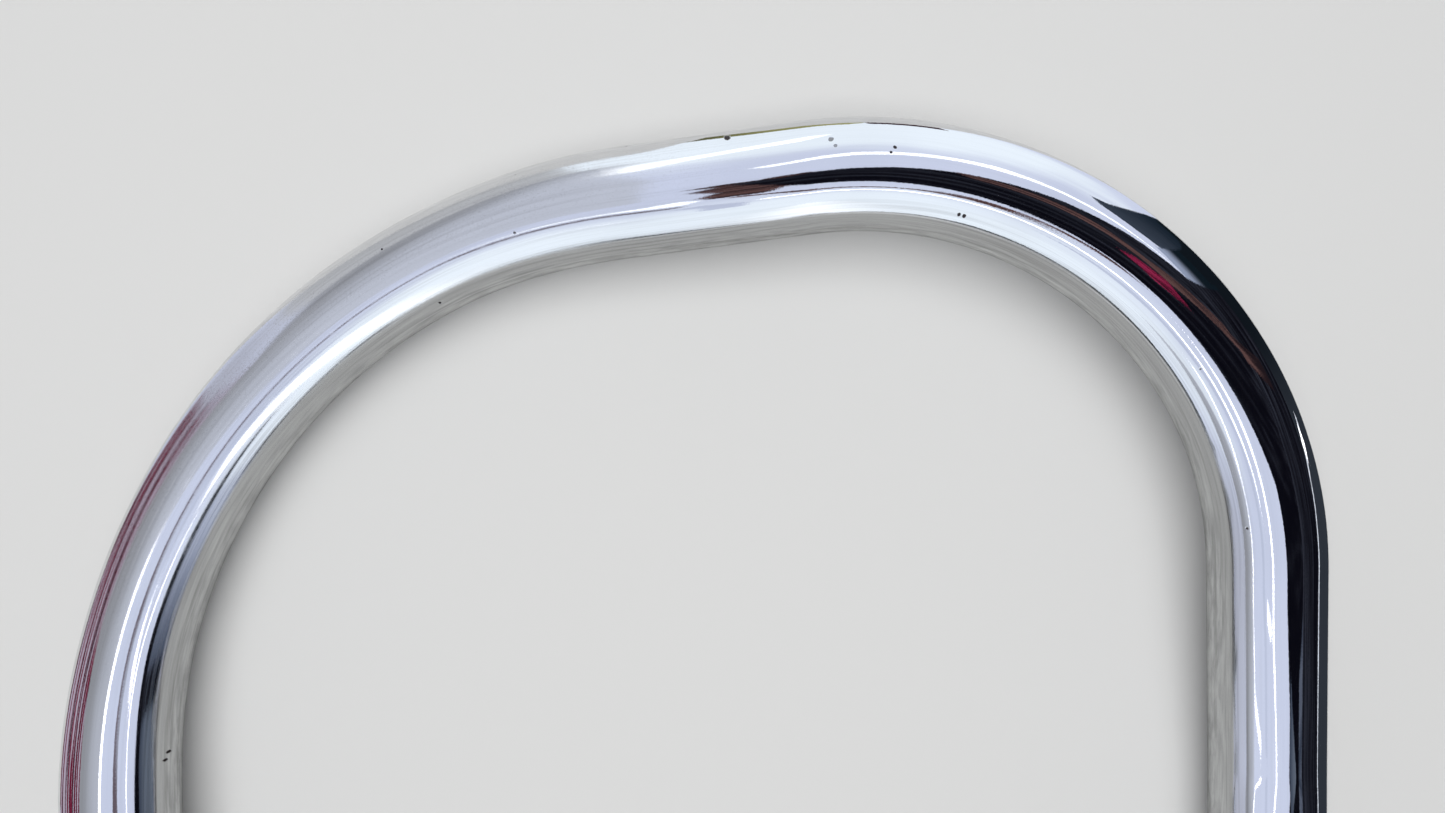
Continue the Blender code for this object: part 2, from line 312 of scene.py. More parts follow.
def finish_plate_end(item, centre, radius, facing, low, high, size):
    """Trim a plate's end to a half round and bore its hole."""
    boolean(item, half_round_cutter(centre, radius, facing, low, high, size), "DIFFERENCE")
    boolean(item, hole_cutter(centre, low, high, BORE_EDGE), "DIFFERENCE")


# ---------------------------------------------------------------- tube


def ease(share):
    share = min(1.0, max(0.0, share))
    return share * share * (3 - 2 * share)


def bend_stations(before, corner, after, radius, squash):
    """Centreline stations (point, direction, squash) round one corner."""
    back = (before - corner).normalized()
    onward = (after - corner).normalized()
    turn = math.pi - back.angle(onward)
    start = corner + back * radius * math.tan(turn / 2)
    centre = corner + (back + onward).normalized() * radius / math.cos(turn / 2)
    outward = (start - centre).normalized()
    forward = -back
    steps = max(2, round(turn / ARC_STEP))
    stations = []
    for step in range(steps + 1):
        angle = turn * step / steps
        out = outward * math.cos(angle) + forward * math.sin(angle)
        ahead = forward * math.cos(angle) - outward * math.sin(angle)
        ramp = ease(min(angle, turn - angle) / SQUASH_RAMP)
        stations.append((centre + out * radius, ahead, squash * ramp))
    return stations


def tube_centreline():
    """Stations from the left leg's round end to the right leg's round end, a few millimetres apart."""
    corners = [LEFT_END, LEFT_HEEL, LEFT_KINK, LEFT_CORNER, RIGHT_CORNER, RIGHT_HEEL, RIGHT_END]
    bends = [
        (HEEL_RADIUS, 0.0),
        (HEEL_RADIUS, 0.0),
        (LEFT_BEND_RADIUS, LEFT_BEND_SQUASH),
        (RIGHT_BEND_RADIUS, RIGHT_BEND_SQUASH),
        (HEEL_RADIUS, 0.0),
    ]
    stations = [leg_start(LEFT_END, LEFT_HEEL)]
    for index, (radius, squash) in enumerate(bends):
        bend = bend_stations(*corners[index : index + 3], radius, squash)
        stations += straight_stations(stations[-1][0], bend[0]) + bend
    last = leg_start(RIGHT_END, RIGHT_HEEL)
    last = (last[0], -last[1], 0.0)
    return stations[1:] + straight_stations(stations[-1][0], last)


def leg_start(end, heel):
    ahead = (heel - end).normalized()
    return end + ahead * (EYE_FLAT + EYE_RAMP), ahead, 0.0


def straight_stations(start, station):
    """Stations strictly between a point and the next station."""
    stop = station[0]
    count = max(1, round((stop - start).length / STRAIGHT_STEP))
    return [(start.lerp(stop, step / count), station[1], 0.0) for step in range(1, count)]


def stadium_point(along, straight, height, quarter):
    """Point a distance along an outline of two half circles joined by straights, from its right side."""
    half = 2 * (straight + quarter)
    sign = 1.0 if along < half else -1.0
    along = math.fmod(along, half)
    if along < quarter:
        angle = along / height
        return sign * (straight + height * math.cos(angle)), sign * height * math.sin(angle)
    if along < quarter + 2 * straight:
        return sign * (straight - (along - quarter)), sign * height
    angle = (along - quarter - 2 * straight) / height
    return sign * (-straight - height * math.sin(angle)), sign * height * math.cos(angle)


def tube_section(radius, flatness, squash):
    """Section points (side, up): a circle pressed flat against its upper side, its girth unchanged."""
    wall = TUBE_RADIUS - radius
    outer_height = TUBE_RADIUS + (EYE_HALF_HEIGHT - TUBE_RADIUS) * flatness
    height = outer_height - wall
    straight = math.pi * (radius - height) / 2
    quarter = math.pi * height / 2
    lift = TUBE_RADIUS - outer_height
    points = []
    for index in range(TUBE_SIDES):
        along = 2 * math.pi * radius * index / TUBE_SIDES
        side, up = stadium_point(along, straight, height, quarter)
        points.append((side * (1.0 - squash), up * (1.0 + SQUASH_SPREAD * squash) + lift))
    return points


def section_ring(point, ahead, section):
    side = ahead.cross(UP).normalized()
    up = side.cross(ahead)
    return [point + side * across + up * rise for across, rise in section]


def leg_end_rings(end, heel, radius):
    """Rings from a leg's tip up to its round part."""
    ahead = (heel - end).normalized()
    flat_count = round(EYE_FLAT / STRAIGHT_STEP)
    reaches = [(EYE_FLAT * step / flat_count, 1.0) for step in range(flat_count)]
    for step in range(EYE_STEPS + 1):
        share = step / EYE_STEPS
        reaches.append((EYE_FLAT + EYE_RAMP * share, 1.0 - ease(share)))
    return [
        section_ring(end + ahead * reach, ahead, tube_section(radius, flatness, 0.0))
        for reach, flatness in reaches
    ]


def tube_rings(radius):
    """Every ring of one skin of the tube, from the left tip to the right tip."""
    middle = [
        section_ring(point, ahead, tube_section(radius, 0.0, squash))
        for point, ahead, squash in tube_centreline()
    ]
    left = leg_end_rings(LEFT_END, LEFT_HEEL, radius)
    right = leg_end_rings(RIGHT_END, RIGHT_HEEL, radius)
    # The right leg's rings are made from its tip, so their sides swap when the tube is followed through.
    swapped = [(TUBE_SIDES // 2 - index) % TUBE_SIDES for index in range(TUBE_SIDES)]
    return left + middle + [[ring[index] for index in swapped] for ring in right[::-1]]


def straightened(rings):
    """Where each ring's points would lie if the tube were straight: (along, towards the inside, up)."""
    places = []
    along = 0.0
    before = None
    for ring in rings:
        middle = sum(ring, Vector()) / TUBE_SIDES
        if before is not None:
            along += (middle - before).length
        before = middle
        for turn in full_turn(TUBE_SIDES):
            places.append((along, TUBE_RADIUS * math.cos(turn), TUBE_RADIUS * math.sin(turn)))
    return places


def place_cut_corners(mesh, kept, length):
    """Give the corners that the cutters made at the eyes the place that their neighbours have."""
    places = mesh.attributes["straightened"].data
    for vertex in mesh.vertices:
        from_tip = vertex.co.y - LEG_END_Y
        if from_tip > EYE_FLAT or vertex.co.to_tuple(PLACE_DIGITS) in kept:
            continue
        left = vertex.co.x < 0.0
        turn = ((vertex.co.x - LEFT_END.x) if left else (RIGHT_END.x - vertex.co.x)) / TUBE_RADIUS
        rise = max(-1.0, min(1.0, (vertex.co.z - SEAT_Z) / EYE_HALF_HEIGHT + 1.0))
        along = from_tip if left else length - from_tip
        places[vertex.index].vector = (
            along, TUBE_RADIUS * math.sin(turn), TUBE_RADIUS * math.cos(turn) * rise
        )


def build_tube(material):
    shape = bmesh.new()
    place = shape.verts.layers.float_vector.new("straightened")
    skins = []
    kept = set()
    for radius in (TUBE_RADIUS, BORE_RADIUS):
        rings = tube_rings(radius)
        loops = [ring_of(shape, ring) for ring in rings]
        flat = [corner for loop in loops for corner in loop]
        places = straightened(rings)
        for corner, where in zip(flat, places):
            corner[place] = where
            kept.add(corner.co.to_tuple(PLACE_DIGITS))
        loft(shape, loops)
        skins.append(loops)
    for tip in (0, -1):
        join_loops(shape, skins[0][tip], skins[1][tip])
    tube = add_object("chromed_tube", mesh_from("chromed_tube", shape))
    low, high = SEAT_Z - 2 * EYE_HALF_HEIGHT, SEAT_Z
    for end in (LEFT_END, RIGHT_END):
        centre = Vector((end.x, EYE_Y, 0.0))
        finish_plate_end(tube, centre, EYE_HALF_WIDTH, -math.pi / 2, low, high, EYE_EDGE)
    place_cut_corners(tube.data, kept, places[-1][0])
    # The fine bend may not stand out past the CAD tube's facets
    for vertex in tube.data.vertices:
        vertex.co.y = min(vertex.co.y, cad_box[1][1])
    smooth(tube.data)
    finish_piece(tube, material, "grip_tube")
    return tube


# ---------------------------------------------------------------- lugs and welds


def lug_outline(flank_x, inward):
    """The angle's section in XZ, from the foot on the tube's flank to the tip of the tab."""

    def at(reach, drop):
        return Vector((flank_x + inward * reach, 0.0, SEAT_Z - drop))

    def bend(radius):
        return [
            at(LUG_BEND_RADIUS - radius * math.cos(turn), LUG_BEND_RADIUS - radius * math.sin(turn))
            for turn in quarter_turn(LUG_BEND_STEPS)
        ]

    tip = [at(LUG_REACH, 0.0), at(LUG_REACH, LUG_THICKNESS)]
    foot = [at(LUG_THICKNESS, LUG_DEPTH), at(0.0, LUG_DEPTH)]
    return bend(LUG_BEND_RADIUS) + tip + bend(LUG_BEND_RADIUS - LUG_THICKNESS)[::-1] + foot


def build_lug(side, leg_x, inward, material):
    flank_x = leg_x + inward * (TUBE_RADIUS + GAP)
    shape = bmesh.new()
    outline = lug_outline(flank_x, inward)
    ends = (LUG_Y - LUG_LENGTH / 2, LUG_Y + LUG_LENGTH / 2)
    loops = [ring_of(shape, [point + Vector((0.0, y, 0.0)) for point in outline]) for y in ends]
    solid_loft(shape, loops)
    lug = add_object(f"{side}_angle_lug", mesh_from("lug", shape))
    bevel = lug.modifiers.new("edges", "BEVEL")
    bevel.width = LUG_EDGE
    bevel.segments = EDGE_STEPS
    bevel.limit_method = "ANGLE"
    bevel.angle_limit = LUG_EDGE_ANGLE
    apply_modifiers(lug)
    hole = Vector((flank_x + inward * (LUG_REACH - LUG_LENGTH / 2), LUG_Y, 0.0))
    facing = 0.0 if inward > 0 else math.pi
    finish_plate_end(lug, hole, LUG_LENGTH / 2, facing, SEAT_Z - LUG_THICKNESS, SEAT_Z, LUG_EDGE)
    smooth(lug.data)
    even_normals(lug)
    finish_piece(lug, material, f"{side}_lug")


def bead_route(leg_x, inward):
    """Evenly spaced points of the closed weld round a lug's foot."""
    half_y, half_z = BEAD_HALF_LENGTH - BEAD_CORNER, (BEAD_HIGH - BEAD_LOW) / 2 - BEAD_CORNER
    middle_z = (BEAD_HIGH + BEAD_LOW) / 2
    signs = [(1, 1), (-1, 1), (-1, -1), (1, -1)]
    flat = []
    for quarter, (y_sign, z_sign) in enumerate(signs):
        for step in range(BEAD_CORNER_STEPS + 1):
            angle = math.radians(90.0 * quarter + 90.0 * step / BEAD_CORNER_STEPS)
            y = y_sign * half_y + BEAD_CORNER * math.cos(angle)
            flat.append(Vector((y, z_sign * half_z + BEAD_CORNER * math.sin(angle))))
    points = []
    for here, after in zip(flat, flat[1:] + flat[:1]):
        count = max(1, round((after - here).length / BEAD_STEP))
        points += [here.lerp(after, step / count) for step in range(count)]
    route = []
    for point in points:
        height = middle_z + point.y
        drop = height - LEG_HEIGHT
        out = math.sqrt(TUBE_RADIUS**2 - drop**2) + BEAD_STAND
        route.append(Vector((leg_x + inward * out, LUG_Y + point.x, height)))
    return route


def build_weld(side, leg_x, inward, material):
    """A rippled bead swept round the lug's foot, sunk into the tube and the lug."""
    route = bead_route(leg_x, inward)
    axis = Vector((leg_x, 0.0, LEG_HEIGHT))
    total = sum((b - a).length for a, b in zip(route, route[1:] + route[:1]))
    ripples = round(total / BEAD_PITCH)
    shape = bmesh.new()
    loops = []
    gone = 0.0
    for index, point in enumerate(route):
        after = route[(index + 1) % len(route)]
        ahead = (after - route[index - 1]).normalized()
        flank = Vector((point.x - axis.x, 0.0, point.z - axis.z)).normalized()
        side_way = ahead.cross(flank).normalized()
        out = side_way.cross(ahead)
        ring = []
        for turn in full_turn(BEAD_SIDES):
            crest = ripples * gone / total + BEAD_LAG * (1 - math.sin(turn))
            ripple = BEAD_RIPPLE * abs(math.sin(math.pi * crest))
            wander = BEAD_WANDER * math.sin(BEAD_WANDERS * 2 * math.pi * gone / total + turn)
            radius = BEAD_RADIUS + ripple + wander
            sideways = side_way * math.cos(turn) * BEAD_SPREAD
            ring.append(point + (sideways + out * math.sin(turn) * BEAD_CROWN) * radius)
        loops.append(ring_of(shape, ring))
        gone += (after - point).length
    loft(shape, loops + loops[:1])
    weld = add_object(f"{side}_lug_weld", mesh_from("weld", shape))
    smooth(weld.data, WELD_SHARP_ANGLE)
    finish_piece(weld, material)


# ---------------------------------------------------------------- fastenings


def bolt_mesh():
    """A hexagon bolt with its bearing face at the origin and its thread along +Z."""
    radius = HEAD_ACROSS_FLATS / math.sqrt(3)
    shape = bmesh.new()
    bmesh.ops.create_cone(
        shape,
        cap_ends=True,
        segments=6,
        radius1=radius,
        radius2=radius,
        depth=HEAD_HEIGHT,
        matrix=Matrix.Translation((0.0, 0.0, -HEAD_HEIGHT / 2)),
    )
    ends = [(edge, edge.verts[0].co.z - edge.verts[1].co.z) for edge in shape.edges]
    upright = [edge for edge, drop in ends if abs(drop) > HEAD_HEIGHT / 2]
    bmesh.ops.bevel(shape, geom=upright, offset=EDGE_ROUND, segments=3, affect="EDGES", profile=0.5)
    bolt = add_object("bolt_builder", mesh_from("bolt", shape))
    half_flats = HEAD_ACROSS_FLATS / 2
    rise = (radius - half_flats) * math.tan(HEAD_CHAMFER_ANGLE)
    envelope = [
        (MIDDLE_RADIUS, -HEAD_HEIGHT + FORGED_DIMPLE),
        (half_flats * 0.55, -HEAD_HEIGHT + FORGED_DIMPLE),
        (half_flats * 0.62, -HEAD_HEIGHT + FORGED_DIMPLE / 3),
        (half_flats * 0.66, -HEAD_HEIGHT),
        (half_flats - HEAD_CHAMFER / 3, -HEAD_HEIGHT),
        (half_flats, -HEAD_HEIGHT + HEAD_CHAMFER / 4),
        (radius, -HEAD_HEIGHT + HEAD_CHAMFER / 4 + rise),
        (radius, -0.0008),
        (half_flats, -0.0003),
        (half_flats * 0.96, 0.0),
        (MIDDLE_RADIUS, 0.0),
    ]
    boolean(bolt, turned_solid("envelope", envelope), "INTERSECT")
    boolean(bolt, shank_mesh(), "UNION")
    mesh = bolt.data
    bpy.data.objects.remove(bolt, do_unlink=True)
    return smooth(mesh, BOLT_SHARP_ANGLE)


def shank_mesh():
    """A threaded shank: a helical ridge that fades in below the plain part and out at the point."""
    shape = bmesh.new()
    loops = []
    low, high = -HEAD_HEIGHT / 2, BOLT_LENGTH
    heights = [low, PLAIN_SHANK / 2]
    rows = round((high - PLAIN_SHANK) / THREAD_PITCH * THREAD_STEPS)
    heights += [PLAIN_SHANK + (high - PLAIN_SHANK) * step / rows for step in range(rows + 1)]
    for height in heights:
        start = ease((height - PLAIN_SHANK) / THREAD_PITCH)
        point = ease((high - height) / (1.2 * THREAD_DEPTH))
        ring = []
        for index, turn in enumerate(full_turn(THREAD_SIDES)):
            phase = (height / THREAD_PITCH - index / THREAD_SIDES) % 1.0
            ridge = min(1.0, max(0.0, THREAD_CREST - THREAD_SLOPE * abs(phase - 0.5)))
            radius = THREAD_RADIUS - THREAD_DEPTH * (1.0 - ridge) * start
            radius = min(radius, THREAD_RADIUS - 1.1 * THREAD_DEPTH * (1.0 - point))
            ring.append((radius * math.cos(turn), radius * math.sin(turn), height))
        loops.append(ring_of(shape, ring))
    solid_loft(shape, loops)
    return mesh_from("shank", shape)


def spring_washer_mesh():
    """A ring of square wire cut through once, its two ends sprung a little apart."""
    half_gap = math.asin(SPRING_GAP / 2 / SPRING_RADIUS)
    wire = [
        (WASHER_BORE, EDGE_ROUND),
        (WASHER_BORE + EDGE_ROUND, 0.0),
        (SPRING_RADIUS - EDGE_ROUND, 0.0),
        (SPRING_RADIUS, EDGE_ROUND),
        (SPRING_RADIUS, SPRING_THICKNESS - EDGE_ROUND),
        (SPRING_RADIUS - EDGE_ROUND, SPRING_THICKNESS),
        (WASHER_BORE + EDGE_ROUND, SPRING_THICKNESS),
        (WASHER_BORE, SPRING_THICKNESS - EDGE_ROUND),
    ]
    shape = bmesh.new()
    loops = []
    for step in range(ROUND_STEPS + 1):
        share = step / ROUND_STEPS
        turn = half_gap + (2 * math.pi - 2 * half_gap) * share
        rise = SPRING_RISE * (share - 0.5)
        loops.append(ring_of(shape, [(r * math.cos(turn), r * math.sin(turn), h + rise) for r, h in wire]))
    solid_loft(shape, loops)
    return smooth(mesh_from("spring_washer", shape), TURNED_SHARP_ANGLE)


def plain_washer_mesh(outer, thickness):
    """A stamped washer: rounded over on its die side, with a small burr edge on the other."""
    turns = quarter_turn(EDGE_STEPS)
    over = 1.6 * EDGE_ROUND
    rim = [(outer - over * (1 - math.sin(a)), over * (1 - math.cos(a))) for a in turns]
    bore = [(WASHER_BORE + over * (1 - math.cos(a)), over * (1 - math.sin(a))) for a in turns[::-1]]
    top = [
        (outer, thickness - EDGE_ROUND / 2),
        (outer - EDGE_ROUND / 2, thickness),
        (WASHER_BORE + EDGE_ROUND / 2, thickness),
        (WASHER_BORE, thickness - EDGE_ROUND / 2),
    ]
    return smooth(turned_ring("plain_washer", rim + top + bore[::-1]), TURNED_SHARP_ANGLE)


def collar_mesh(outer, length):
    """A turned spacer: chamfered ends and fine tool marks round its barrel."""
    barrel = []
    for step in range(2 * COLLAR_GROOVES + 1):
        height = EDGE_ROUND + (length - 2 * EDGE_ROUND) * step / (2 * COLLAR_GROOVES)
        barrel.append((outer - GROOVE_DEPTH * (step % 2), height))
    profile = [(outer - EDGE_ROUND, 0.0)] + barrel + [(outer - EDGE_ROUND, length)]
    profile += [(WASHER_BORE + EDGE_ROUND, length), (WASHER_BORE, length - EDGE_ROUND)]
    profile += [(WASHER_BORE, EDGE_ROUND), (WASHER_BORE + EDGE_ROUND, 0.0)]
    return smooth(turned_ring("collar", profile), TURNED_SHARP_ANGLE)


def build_fastenings(zinc, spring_steel):
    """One bolt, spring washer, plain washer and collar at each of the four holes."""
    low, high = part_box("front_left_plain_washer")
    washer = plain_washer_mesh((high.x - low.x) / 2, high.z - low.z)
    low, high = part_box("front_left_collar")
    collar = collar_mesh((high.x - low.x) / 2, high.z - low.z)
    kinds = [
        ("bolt", bolt_mesh(), HEAD_HEIGHT, zinc, "zinc"),
        ("spring_washer", spring_washer_mesh(), 0.0, spring_steel, "spring_steel"),
        ("plain_washer", washer, 0.0, zinc, "zinc"),
        ("collar", collar, 0.0, zinc, "zinc"),
    ]
    for place in ("front_left", "rear_left", "front_right", "rear_right"):
        seat_low, seat_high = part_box(f"{place}_collar")
        middle = (seat_low + seat_high) / 2
        for kind, mesh, rise, material, slot in kinds:
            node = f"{place}_{kind}"
            piece = add_object(f"{place}_fine_{kind}", mesh)
            piece.location = (middle.x, middle.y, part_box(node)[0].z + rise)
            finish_piece(piece, material, node)


def finish_piece(piece, material, node=None):
    """Give a piece its material and its body, and hide the CAD node that it stands for."""
    piece.data.materials.clear()
    piece.data.materials.append(material)
    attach(piece, BODY)
    if node:
        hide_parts(node)


# ---------------------------------------------------------------- materials

# The colour sockets of a Mix node
MIX_FIRST, MIX_SECOND, MIX_RESULT = 6, 7, 2


class Nodes:
    """Short calls that add nodes to one tree."""

    def __init__(self, tree):
        self.tree = tree

    def add(self, kind, **settings):
        node = self.tree.nodes.new(kind)
        for key, value in settings.items():
            setattr(node, key, value)
        return node

    def put(self, value, socket):
        """Link an output to a socket, or set the socket to a plain value."""
        if isinstance(value, bpy.types.NodeSocket):
            self.tree.links.new(value, socket)
        elif isinstance(value, tuple) and socket.type == "RGBA":
            socket.default_value = (*value, 1.0)
        else:
            socket.default_value = value

    def make(self, kind, inputs, output, **settings):
        """Add a node, fill its inputs and hand back one of its outputs."""
        node = self.add(kind, **settings)
        for key, value in inputs.items():
            self.put(value, node.inputs[key])
        return node.outputs[output]

    def object_place(self):
        return self.add("ShaderNodeTexCoord").outputs["Object"]

    def stretched(self, vector, scale):
        return self.make("ShaderNodeMapping", {"Vector": vector, "Scale": scale}, "Vector")

    def noise(self, vector, scale, detail=3.0, roughness=0.5, distortion=0.0):
        inputs = {"Vector": vector, "Scale": scale, "Detail": detail}
        inputs.update({"Roughness": roughness, "Distortion": distortion})
        return self.make("ShaderNodeTexNoise", inputs, "Fac")

    def stretched_noise(self, vector, scale, detail=3.0, roughness=0.5):
        return self.noise(self.stretched(vector, scale), 1.0, detail, roughness)

    def cells(self, vector, scale):
        """Distance to the nearest cell's middle, and one random number for that cell."""
        node = self.add("ShaderNodeTexVoronoi")
        self.put(vector, node.inputs["Vector"])
        node.inputs["Scale"].default_value = scale
        pick = self.make("ShaderNodeSeparateColor", {"Color": node.outputs["Color"]}, "Red")
        return node.outputs["Distance"], pick

    def remap(self, value, low, high, to_low=0.0, to_high=1.0):
        inputs = {"Value": value, "From Min": low, "From Max": high, "To Min": to_low, "To Max": to_high}
        return self.make("ShaderNodeMapRange", inputs, "Result", interpolation_type="SMOOTHSTEP")

    def math(self, operation, first, second=0.0):
        return self.make("ShaderNodeMath", {0: first, 1: second}, "Value", operation=operation)

    def times(self, first, second):
        return self.math("MULTIPLY", first, second)

    def total(self, *values):
        result = values[0]
        for value in values[1:]:
            result = self.math("ADD", result, value)
        return result

    def swing(self, noise, size):
        """A noise made to swing either way round zero."""
        return self.times(self.math("SUBTRACT", noise, 0.5), size)

    def vector_math(self, operation, inputs, output="Value"):
        return self.make("ShaderNodeVectorMath", dict(enumerate(inputs)), output, operation=operation)

    def mix(self, share, first, second):
        inputs = {"Factor": share, MIX_FIRST: first, MIX_SECOND: second}
        return self.make("ShaderNodeMix", inputs, MIX_RESULT, data_type="RGBA")

    def axes(self, vector):
        node = self.add("ShaderNodeSeparateXYZ")
        self.put(vector, node.inputs["Vector"])
        return node.outputs["X"], node.outputs["Y"], node.outputs["Z"]

    def bump(self, height, distance, strength=1.0, below=None):
        inputs = {"Height": height, "Distance": distance, "Strength": strength}
        if below is not None:
            inputs["Normal"] = below
        return self.make("ShaderNodeBump", inputs, "Normal")


def surface_material(name, **settings):
    """A Principled material, with what is the same all over set on the shader's own sockets."""
    material = bpy.data.materials.new(name)
    material.use_nodes = True
    shader = material.node_tree.nodes["Principled BSDF"]
    for socket, value in settings.items():
        shader.inputs[socket].default_value = value
    return material, Nodes(material.node_tree), shader.inputs


# Marks on the tube: (x, y, z, radius, depth of colour)
TUBE_MARKS = [
    (0.0060, 0.1444, 0.0293, 0.0008, 1.0),
    (0.0285, 0.1429, 0.0342, 0.0006, 0.7),
    (0.0294, 0.1413, 0.0349, 0.0004, 0.6),
    (0.0421, 0.1407, 0.0360, 0.0004, 1.0),
    (0.0412, 0.1396, 0.0362, 0.0003, 1.0),
    (0.0563, 0.1266, 0.0339, 0.0004, 1.0),
    (0.0574, 0.1263, 0.0339, 0.0004, 1.0),
    (-0.1230, 0.0052, 0.0183, 0.0004, 1.0),
    (-0.1234, 0.0036, 0.0192, 0.0004, 1.0),
    (-0.0593, 0.1086, 0.0222, 0.0003, 1.0),
    (-0.0710, 0.1201, 0.0271, 0.0003, 1.0),
    (-0.0409, 0.1234, 0.0295, 0.0003, 0.8),
]
# A height counts this much of a sideways distance, so a mark shows even if its height is a little off
MARK_FLATTEN = 0.4


def chrome_pits(n, place, density):
    """A few tiny dark pits: the chosen cells' middles."""
    distance, pick = n.cells(place, 240.0)
    chosen = n.remap(pick, 1.0 - density, 1.0 - density * 0.9)
    return n.times(chosen, n.remap(distance, 0.05, 0.11, 1.0, 0.0))


def tube_marks(n, place):
    """The pits and the larger marks that were placed one by one."""
    marks = chrome_pits(n, place, 0.035)
    flattened = n.stretched(place, (1.0, 1.0, MARK_FLATTEN))
    for x, y, z, radius, depth in TUBE_MARKS:
        offset = n.vector_math("DISTANCE", [flattened, (x, y, MARK_FLATTEN * z)])
        reach = n.total(offset, n.swing(n.noise(place, 1400.0, 2.0), radius))
        marks = n.math("MAXIMUM", marks, n.remap(reach, 0.75 * radius, 1.05 * radius, depth, 0.0))
    return marks


def tube_chrome():
    """Bright plating: slow waves, polishing lines along the tube, haze on the left bend, pits and marks."""
    material, n, shader = surface_material("polished_chrome", Metallic=1.0)
    place = n.object_place()
    unrolled = n.add("ShaderNodeAttribute", attribute_name="straightened").outputs["Vector"]
    inside = n.axes(unrolled)[1]
    x, y, _ = n.axes(place)

    slow = n.noise(place, 26.0, 2.0)
    smear = n.noise(place, 120.0, 5.0, 0.6, 0.8)
    lines = n.stretched_noise(unrolled, (14.0, 1100.0, 1100.0), 3.0, 0.6)
    fine_lines = n.stretched_noise(unrolled, (30.0, 3200.0, 3200.0), 2.0, 0.6)
    grain = n.noise(place, 2300.0, 2.0, 0.7)

    left = n.times(n.remap(x, 0.030, -0.050), n.remap(y, 0.00, 0.075))
    left = n.times(left, n.remap(inside, -0.0112, -0.0092))
    haze = n.times(left, n.remap(inside, 0.0045, -0.0020))
    under = n.remap(inside, 0.0070, 0.0095)
    marks = tube_marks(n, place)

    bright = n.mix(n.remap(slow, 0.35, 0.65), (0.84, 0.85, 0.87), (0.89, 0.90, 0.92))
    worn = n.total(n.times(under, 0.8), n.times(left, 0.35), 0.12)
    lined = n.mix(n.times(n.remap(lines, 0.42, 0.78), worn), bright, (0.60, 0.60, 0.61))
    dust = n.times(n.remap(grain, 0.5, 0.8), n.total(n.times(haze, 0.45), 0.03))
    dusty = n.mix(dust, lined, (0.52, 0.52, 0.53))
    n.put(n.mix(marks, dusty, (0.06, 0.05, 0.05)), shader["Base Color"])

    rough = n.total(
        n.remap(smear, 0.50, 0.80, 0.026, 0.070),
        n.times(haze, n.remap(grain, 0.3, 0.7, 0.03, 0.12)),
        n.times(left, n.remap(smear, 0.35, 0.75, 0.055, 0.100)),
        n.times(under, n.remap(fine_lines, 0.35, 0.7, 0.02, 0.12)),
        n.times(marks, 0.4),
    )
    n.put(rough, shader["Roughness"])

    waves = n.bump(n.stretched_noise(unrolled, (14.0, 60.0, 60.0), 1.0), 0.0004, 0.30)
    peel = n.bump(grain, 0.0000030, 1.0, waves)
    polish = n.bump(lines, 0.000006, 0.6, peel)
    n.put(n.bump(n.math("SUBTRACT", 1.0, marks), 0.00020, 0.6, polish), shader["Normal"])
    return material


def lug_chrome():
    """Thinner plating over sawn and bent plate: coarser grain and duller patches."""
    material, n, shader = surface_material("plate_chrome", Metallic=1.0)
    place = n.object_place()
    smear = n.noise(place, 150.0, 5.0, 0.6, 0.5)
    sawn = n.stretched_noise(place, (300.0, 2400.0, 300.0), 3.0, 0.6)
    orange_peel = n.noise(place, 520.0, 2.0)
    marks = chrome_pits(n, place, 0.10)
    bright = n.mix(n.remap(smear, 0.35, 0.70), (0.80, 0.81, 0.83), (0.88, 0.89, 0.91))
    lined = n.mix(n.times(n.remap(sawn, 0.5, 0.8), 0.5), bright, (0.60, 0.60, 0.61))
    n.put(n.mix(marks, lined, (0.08, 0.06, 0.05)), shader["Base Color"])
    rough = n.total(n.remap(smear, 0.4, 0.8, 0.07, 0.20), n.remap(sawn, 0.4, 0.7, 0.0, 0.05))
    n.put(n.total(rough, n.times(marks, 0.3)), shader["Roughness"])
    peel = n.bump(orange_peel, 0.00005, 0.5)
    n.put(n.bump(sawn, 0.00002, 0.6, peel), shader["Normal"])
    return material


def weld_chrome():
    """Plating over a weld: duller, and darker brown in the hollows between the ripples."""
    material, n, shader = surface_material("weld_chrome", Metallic=1.0)
    place = n.object_place()
    smear = n.noise(place, 260.0, 4.0, 0.6)
    grit = n.noise(place, 2600.0, 3.0, 0.7)
    hollow = n.add("ShaderNodeNewGeometry").outputs["Pointiness"]
    # The concave hollows between the ripples are darkened towards brown
    dull = n.remap(hollow, 0.42, 0.50, 1.0, 0.0)
    base = n.mix(n.remap(smear, 0.3, 0.7), (0.70, 0.70, 0.71), (0.83, 0.83, 0.84))
    n.put(n.mix(n.times(dull, 0.6), base, (0.22, 0.18, 0.14)), shader["Base Color"])
    rough = n.total(n.remap(smear, 0.3, 0.8, 0.16, 0.32), n.remap(grit, 0.4, 0.8, 0.0, 0.10))
    n.put(rough, shader["Roughness"])
    n.put(n.bump(grit, 0.00004, 0.6), shader["Normal"])
    return material


# Plated steel: darker and lighter mottling, stain, and the lowest and highest roughness
ZINC = ((0.52, 0.53, 0.54), (0.72, 0.72, 0.71), (0.40, 0.38, 0.32), 0.24, 0.40)
SPRING_STEEL = ((0.30, 0.30, 0.31), (0.46, 0.46, 0.46), (0.24, 0.20, 0.16), 0.28, 0.46)


